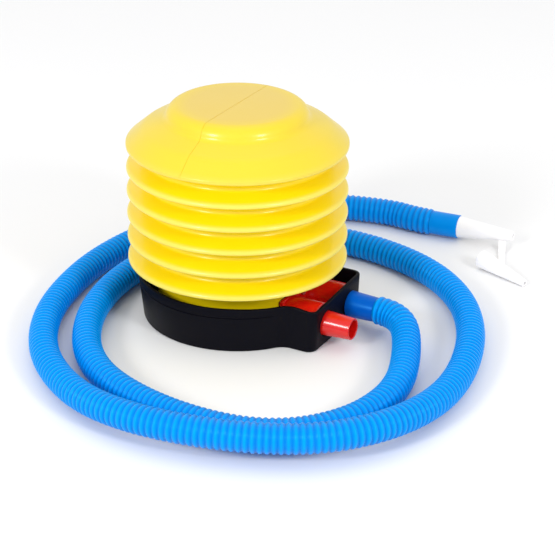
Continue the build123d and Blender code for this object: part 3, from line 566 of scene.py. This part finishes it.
zigzag = [(NECK_R, NECK_TOP_Z, 0)]
for k in range(FOLD_COUNT):
    rim_z = LID_RIM_Z - (FOLD_COUNT - k) * FOLD_PITCH
    zigzag += [(BELLOWS_R, rim_z, RIM_ROUND_LOW), (BELLOWS_R, rim_z + RIM_LIP, RIM_ROUND_TOP),
               (VALLEY_R, rim_z + (FOLD_PITCH + RIM_LIP) / 2, VALLEY_ROUND)]
zigzag += [(BELLOWS_R, LID_RIM_Z, LID_RIM_ROUND), (BELLOWS_R, LID_JOIN_Z, 0)]
outside = rounded(zigzag)
inside = [(r - FOLD_WALL, z) for r, z in reversed(outside)]
folds = spun("bellows_moulding", outside + inside + outside[:1], steps=144)
smooth(folds, 50)
folds.data.materials.append(yellow)
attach(folds, "base")
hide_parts("bellows_folds")
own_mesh(folds)


# ------------------------------------------------------------------ lid
# The top of the same moulding: a sloping rim and a low round dome with a flat tread.  The fine
# line where the mould's halves met runs over it, square to the ports.
DOME_R, DOME_TOP_R, PUMP_H, LID_WALL, LID_CONE_RISE = 48.8, 46.0, 151.8, 1.8, 16.4
LID_BEND_R, LID_BEND_RISE = 63.0, 10.3
LID_BEND_ROUND, DOME_FOOT_ROUND, DOME_TOP_ROUND = 18.0, 5.6, 9.0
INNER_BEND_ROUND, INNER_FOOT_ROUND, INNER_TOP_ROUND = 15.0, 3.0, 7.5
SEAM_WIDE, SEAM_DEEP, SEAM_CLEAR = 0.4, 0.16, 1.0

lid_lip_z = LID_RIM_Z + RIM_LIP
lid_foot_z = lid_lip_z + LID_CONE_RISE
lid_outside = rounded([
    (BELLOWS_R, LID_JOIN_Z, 0), (BELLOWS_R, lid_lip_z, LID_RIM_ROUND),
    (LID_BEND_R, lid_lip_z + LID_BEND_RISE, LID_BEND_ROUND), (DOME_R, lid_foot_z, DOME_FOOT_ROUND),
    (DOME_TOP_R, PUMP_H, DOME_TOP_ROUND), (0, PUMP_H, 0)], steps=8)
lid_inside = rounded([
    (0, PUMP_H - LID_WALL, 0), (DOME_TOP_R - LID_WALL, PUMP_H - LID_WALL, INNER_TOP_ROUND),
    (DOME_R - LID_WALL, lid_foot_z - LID_WALL, INNER_FOOT_ROUND),
    (LID_BEND_R - LID_WALL, lid_lip_z + LID_BEND_RISE - LID_WALL, INNER_BEND_ROUND),
    (BELLOWS_R - FOLD_WALL, lid_lip_z, 0), (BELLOWS_R - FOLD_WALL, LID_JOIN_Z, 0)], steps=6)
lid = spun("lid_moulding", lid_outside + lid_inside + lid_outside[:1], steps=144)
seam_over = [(r + SEAM_CLEAR, z + SEAM_CLEAR) for r, z in lid_outside]
seam_under = [(r - SEAM_DEEP, z - SEAM_DEEP) for r, z in lid_outside]
seam_line = seam_over[:-1] + [(-r, z) for r, z in reversed(seam_over[:-1])]
seam_line += [(-r, z) for r, z in seam_under[:-1]] + seam_under[-2::-1]
seam = draw_line("seam", [Vector((-SEAM_WIDE / 2, r, z)) / 1000 for r, z in seam_line + seam_line[:1]])
bpy.ops.mesh.remove_doubles(threshold=1e-6)
bpy.ops.mesh.edge_face_add()
bpy.ops.mesh.extrude_region_move(TRANSFORM_OT_translate={"value": (SEAM_WIDE / 1000, 0, 0)})
bpy.ops.mesh.select_all(action="SELECT")
bpy.ops.mesh.normals_make_consistent(inside=False)
bpy.ops.object.mode_set(mode="OBJECT")
groove = lid.modifiers.new("seam", "BOOLEAN")
groove.operation, groove.solver, groove.object = "DIFFERENCE", "EXACT", seam
bpy.context.view_layer.objects.active = lid
bpy.ops.object.modifier_apply(modifier=groove.name)
bpy.data.objects.remove(seam)
smooth(lid, 50)
lid.data.materials.append(yellow)
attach(lid, "pedal")
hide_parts("bellows_lid")


# ------------------------------------------------------------------ hose cuffs
# Plain blue sleeves at both ends of the hose, shrunk over the blow spout and over the nozzle's
# spigot.
BLUE_SHINE = (0.10, 0.55, 1.0, 1.0)
blue, blue_shader, blue_place = new_material(
    "blue hose plastic", {"IOR": 1.5, "Specular IOR Level": 0.35, "Specular Tint": BLUE_SHINE})
mottle(blue_place, blue_shader, 40.0, 3.0, (0.0, 0.22, 0.72), (0.0, 0.28, 0.84))
dull(blue_place, blue_shader, 60.0, 3.0, 0.12, 0.3)
deep_blue, deep_shader, deep_place = new_material(
    "deep blue sleeve", {"IOR": 1.5, "Specular IOR Level": 0.4, "Specular Tint": BLUE_SHINE})
mottle(deep_place, deep_shader, 40.0, 3.0, (0.0, 0.075, 0.44), (0.0, 0.11, 0.56))
dull(deep_place, deep_shader, 60.0, 3.0, 0.12, 0.28)

CUFF_X0, CUFF_X1 = 78.5, 99.0
pump_cuff = spun("pump_cuff_sleeve", rounded([
    (7.75, CUFF_X0, 0.3), (9.2, CUFF_X0, 0.6), (8.4, CUFF_X1, 0.5), (7.2, CUFF_X1, 0.3)], closed=True),
    (0, PORT_Y, PORT_Z), (1, 0, 0), steps=72)
smooth(pump_cuff, 40)
pump_cuff.data.materials.append(deep_blue)

HOSE_END, HOSE_WAY = (64.0, 183.0, 10.0), (0.995414, 0.095854, 0.0)
END_CUFF_L = 21.3
end_cuff = spun("end_cuff_sleeve", rounded([
    (7.2, 0, 0.3), (8.7, 0, 0.5), (8.7, END_CUFF_L, 0.5), (7.2, END_CUFF_L, 0.3)], closed=True),
    HOSE_END, HOSE_WAY, steps=72)
smooth(end_cuff, 40)
end_cuff.data.materials.append(blue)
for piece, node in ((pump_cuff, "pump_cuff"), (end_cuff, "end_cuff")):
    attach(piece, "base")
    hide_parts(node)


# ------------------------------------------------------------------ nozzles and strap
# Two hollow white polyethylene cones.  One pushes into the hose's end; the slimmer spare lies
# beside it, and a short strap stands between them.
NOZZLE_L, NOZZLE_SPIGOT_L, NOZZLE_TIP_L = 42.3, 10, 12
SPARE_L, SPARE_TIP_L = 43.0, 8
NOZZLE_START = tuple(p + w * END_CUFF_L for p, w in zip(HOSE_END, HOSE_WAY))
SPARE_ROOT, SPARE_WAY = (120.4, 146.9, 6.9), (0.93208, -0.34849, -0.09884)

nozzle = spun("nozzle_cone", rounded([
    (5.6, -NOZZLE_SPIGOT_L, 0), (7.1, -NOZZLE_SPIGOT_L, 0.5), (7.1, 0, 0), (8.1, 0, 0.5),
    (3.5, NOZZLE_L, 0.7), (2.2, NOZZLE_L, 0.4), (2.2, NOZZLE_L - NOZZLE_TIP_L, 0)], closed=True),
    NOZZLE_START, HOSE_WAY, steps=72)
spare = spun("spare_cone", rounded([
    (5.4, 0, 0.4), (6.75, 0, 0.6), (2.5, SPARE_L, 0.5), (1.4, SPARE_L, 0.3),
    (1.4, SPARE_L - SPARE_TIP_L, 0)], closed=True), SPARE_ROOT, SPARE_WAY, steps=72)
smooth(nozzle, 40)
smooth(spare, 40)
white, white_shader, white_place = new_material("white polyethylene", {"IOR": 1.5})
mottle(white_place, white_shader, 60.0, 2.0, (0.93, 0.92, 0.93), (0.97, 0.96, 0.97))
dull(white_place, white_shader, 90.0, 3.0, 0.1, 0.33)
white_place.noise(1200.0, 2.0).bump(0.00003).feed(white_shader, "Normal")
for piece, node in ((nozzle, "nozzle"), (spare, "spare_nozzle")):
    piece.data.materials.append(white)
    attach(piece, "base")
    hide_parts(node)
dress(["nozzle_strap"], white)


# ------------------------------------------------------------------ hose
# 1.75 m of corrugated blue tube, blown in soft polyethylene: limp, with a rounded rib every few
# millimetres.  It leaves the pump, goes once and a half round it and ends at the nozzle.
HOSE_R, RIB_DEEP, RIB_PITCH, RIB_RINGS, HOSE_SIDES = 9.75, 1.05, 4.2, 8, 24
RIB_FULLNESS = 0.7
HOSE_POINTS = [
    (99.0, 17.0, 15.8), (107.0, 17.0, 15.8), (117.5, 13.0, 15.0), (125.5, 5.5, 13.5),
    (133.5, -8.5, 11.2), (143.5, -31.5, 10.0), (152.5, -58.5, 10.0), (155.0, -88.0, 10.0),
    (148.0, -120.0, 10.0), (128.0, -148.5, 10.0), (98.0, -164.5, 10.0), (62.0, -167.5, 10.0),
    (24.0, -162.0, 10.0), (-15.0, -147.0, 10.0), (-46.0, -120.5, 10.0), (-68.5, -84.5, 10.0),
    (-81.5, -47.5, 10.0), (-86.5, -6.0, 10.0), (-80.0, 33.0, 10.0), (-63.0, 70.5, 10.0),
    (-30.5, 103.0, 10.0), (10.0, 120.0, 10.0), (58.0, 117.5, 10.0), (102.0, 101.5, 10.0),
    (137.5, 72.0, 10.0), (162.5, 33.0, 10.0), (177.5, -8.5, 10.0), (185.0, -50.0, 10.5),
    (184.0, -90.5, 13.5), (172.5, -129.5, 17.0), (148.0, -160.0, 17.5), (112.5, -179.0, 17.5),
    (73.0, -190.0, 17.5), (33.0, -191.5, 16.0), (-6.5, -182.0, 13.0), (-43.0, -160.0, 10.5),
    (-74.0, -131.0, 10.0), (-97.5, -91.5, 10.0), (-110.5, -48.5, 10.0), (-116.5, -1.5, 10.0),
    (-112.0, 47.5, 10.0), (-93.5, 101.5, 10.0), (-60.5, 145.5, 10.0), (-20.5, 172.0, 10.0),
    (27.0, 185.0, 10.0), (50.5, 181.7, 10.0), (64.0, 183.0, 10.0),
]


def rib_swell(ring):
    """How far one ring stands out, from 0 in a groove to 1 on a rib's top."""
    return 0.5 - 0.5 * math.cos(math.tau * ring / RIB_RINGS)


route = bpy.data.curves.new("hose_route", "CURVE")
route.dimensions = "3D"
spline = route.splines.new("NURBS")
spline.points.add(len(HOSE_POINTS) - 1)
for point, place in zip(spline.points, HOSE_POINTS):
    point.co = (*(Vector(place) / 1000), 1)
spline.order_u = 3
spline.use_endpoint_u = True
spline.resolution_u = 24
route_holder = bpy.data.objects.new("hose_route", route)
route_mesh = bpy.data.meshes.new_from_object(route_holder)
route_line = [v.co.copy() for v in route_mesh.vertices]
bpy.data.objects.remove(route_holder)
bpy.data.meshes.remove(route_mesh)

run = [0.0]
for before, after in zip(route_line, route_line[1:]):
    run.append(run[-1] + (after - before).length)
rib_count = round(run[-1] * 1000 / RIB_PITCH)
ring_count = rib_count * RIB_RINGS + 1
centres, at = [], 0
for i in range(ring_count):
    want = run[-1] * i / (ring_count - 1)
    while at < len(run) - 2 and run[at + 1] < want:
        at += 1
    share = (want - run[at]) / (run[at + 1] - run[at])
    centres.append(route_line[at].lerp(route_line[at + 1], share))

ways = [(b - a).normalized() for a, b in zip(centres, centres[1:])]
ways = [ways[0]] + [(a + b).normalized() for a, b in zip(ways, ways[1:])] + [ways[-1]]
hose_verts, hose_faces = [], []
across = Vector((0, 0, 1))
for i, (centre, way) in enumerate(zip(centres, ways)):
    across = (across - way * across.dot(way)).normalized()
    over = way.cross(across)
    radius = (HOSE_R - RIB_DEEP * (1 - rib_swell(i) ** RIB_FULLNESS)) / 1000
    for k in range(HOSE_SIDES):
        turn = math.tau * k / HOSE_SIDES
        hose_verts.append(centre + (across * math.cos(turn) + over * math.sin(turn)) * radius)
for i in range(ring_count - 1):
    for k in range(HOSE_SIDES):
        a, b = i * HOSE_SIDES + k, i * HOSE_SIDES + (k + 1) % HOSE_SIDES
        hose_faces.append((a, b, b + HOSE_SIDES, a + HOSE_SIDES))
hose_faces.append(tuple(range(HOSE_SIDES))[::-1])
hose_faces.append(tuple((ring_count - 1) * HOSE_SIDES + k for k in range(HOSE_SIDES)))
hose_mesh = bpy.data.meshes.new("hose_corrugated")
hose_mesh.from_pydata(hose_verts, [], hose_faces)
hose = bpy.data.objects.new("hose_corrugated", hose_mesh)
bpy.context.scene.collection.objects.link(hose)
smooth(hose, 60)
rib_top = hose_mesh.attributes.new("rib_top", "FLOAT", "POINT")
rib_top.data.foreach_set("value", [rib_swell(i // HOSE_SIDES) for i in range(len(hose_verts))])
ribbed, ribbed_shader, ribbed_place = new_material(
    "blue corrugated plastic", {"IOR": 1.5, "Specular IOR Level": 0.35, "Specular Tint": BLUE_SHINE})
on_rib = ribbed_place.node("ShaderNodeAttribute", {"attribute_name": "rib_top"}, output=2)
# The grooves get a darker blue than the rib tops: painted shade between the ribs.
groove_shade_blue = ribbed_place.noise(40.0, 3.0).mix((0.0, 0.17, 0.60, 1), (0.0, 0.205, 0.68, 1))
rib_blue = ribbed_place.noise(34.0, 3.0).mix((0.0, 0.275, 0.82, 1), (0.0, 0.335, 0.93, 1))
on_rib.mix(groove_shade_blue, rib_blue).feed(ribbed_shader, "Base Color")
dull(ribbed_place, ribbed_shader, 60.0, 3.0, 0.12, 0.27)
hose.data.materials.append(ribbed)
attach(hose, "base")
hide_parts("hose_tube")
